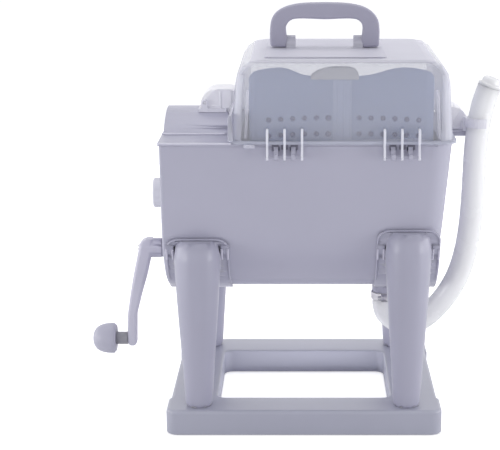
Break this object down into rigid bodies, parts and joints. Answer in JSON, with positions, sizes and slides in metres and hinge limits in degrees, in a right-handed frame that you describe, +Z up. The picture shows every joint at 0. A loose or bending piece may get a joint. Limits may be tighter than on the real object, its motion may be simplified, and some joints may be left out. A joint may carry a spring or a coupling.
{
  "type": "manual washing machine",
  "caption": "Hand-cranked washing tub on a stand, with a hinged milky lid, a carrying handle, an inner basket and a drain hose.",
  "frame": {"origin": "on the floor, under the middle of the outer box measured without the drain hose", "axes": "+Z up, -Y to the front with the lid's hinges, +X from the crank towards the drain hose"},
  "size_m": [0.5355, 0.302, 0.5326],
  "materials": {
    "housing": "semi-gloss pearl grey",
    "stand": "satin grey",
    "legs": "semi-gloss pearl grey",
    "pads": "black rubber",
    "milky_lid": "milky translucent",
    "lid_trim": "semi-gloss pale grey",
    "handle": "satin grey",
    "crank": "satin grey",
    "knob": "semi-gloss pearl grey",
    "basket": "satin blue-grey",
    "grip": "matte grey",
    "white_plastic": "white",
    "hose": "smooth off-white",
    "steel": "bright steel"
  },
  "bodies": {
    "machine": {"tub": "housing", "top_frame": "housing", "partition_plate": "housing", "crank_bush": "housing", "boss_cap": "housing", "drain_spout": "housing", "base_frame": "stand", "leg_front_left": "legs", "leg_front_right": "legs", "leg_rear_left": "legs", "leg_rear_right": "legs", "foot_pad_front_left": "pads", "foot_pad_front_right": "pads", "foot_pad_rear_left": "pads", "foot_pad_rear_right": "pads", "shaft_seal": "pads", "left_lock_seat": "lid_trim", "right_lock_seat": "lid_trim", "basket": "basket", "basket_grip": "grip", "pulsator_bush": "white_plastic", "drain_strainer": "white_plastic", "hose_clip": "white_plastic", "drain_hose": "hose", "hose_end": "hose", "hose_cuff": "hose", "leg_screw_front_left": "steel", "leg_screw_front_right": "steel", "leg_screw_rear_left": "steel", "leg_screw_rear_right": "steel", "lid_hinge_pin_left": "steel", "lid_hinge_pin_right": "steel", "left_lock_pin": "steel", "right_lock_pin": "steel", "hose_clamp": "steel", "clamp_screw": "steel"},
    "lid_unit": {"lid": "milky_lid", "handle_socket": "milky_lid", "handle_pin_left": "steel", "handle_pin_right": "steel"},
    "carry_handle": {"lid_handle": "handle"},
    "lock_left": {"left_lock": "lid_trim"},
    "lock_right": {"right_lock": "lid_trim"},
    "crank_unit": {"crank_shaft": "steel", "crank_gear": "white_plastic", "crank_arm": "crank", "crank_screw": "steel", "knob_spindle": "crank"},
    "knob_unit": {"crank_knob": "knob"},
    "pulsator_unit": {"pulsator_shaft": "steel", "pulsator_gear": "white_plastic", "pulsator": "white_plastic", "pulsator_nut": "steel"}
  },
  "joints": [
    {"name": "lid_hinge", "type": "hinge", "parent": "machine", "child": "lid_unit", "pos_m": [0.07447, -0.1435, 0.3575], "axis": [1, 0, 0], "range_deg": [0, 105]},
    {"name": "handle_fold", "type": "hinge", "parent": "lid_unit", "child": "carry_handle", "pos_m": [0.05347, 0, 0.4856], "axis": [1, 0, 0], "range_deg": [-88, 88]},
    {"name": "left_lock_turn", "type": "hinge", "parent": "machine", "child": "lock_left", "pos_m": [-0.10043, 0, 0.407], "axis": [0, -1, 0], "range_deg": [0, 70]},
    {"name": "right_lock_turn", "type": "hinge", "parent": "machine", "child": "lock_right", "pos_m": [0.23257, 0, 0.382], "axis": [0, 1, 0], "range_deg": [0, 70]},
    {"name": "crank_spin", "type": "hinge", "parent": "machine", "child": "crank_unit", "pos_m": [-0.18343, 0, 0.208], "axis": [1, 0, 0], "continuous": true},
    {"name": "knob_spin", "type": "hinge", "parent": "crank_unit", "child": "knob_unit", "pos_m": [-0.22663, 0, 0.0818], "axis": [1, 0, 0], "continuous": true},
    {"name": "pulsator_spin", "type": "hinge", "parent": "machine", "child": "pulsator_unit", "pos_m": [-0.06343, 0, 0.283], "axis": [1, 0, 0], "continuous": true}
  ],
  "couplings": [
    {"joint": "pulsator_spin", "follows": "crank_spin", "ratio": -1}
  ]
}
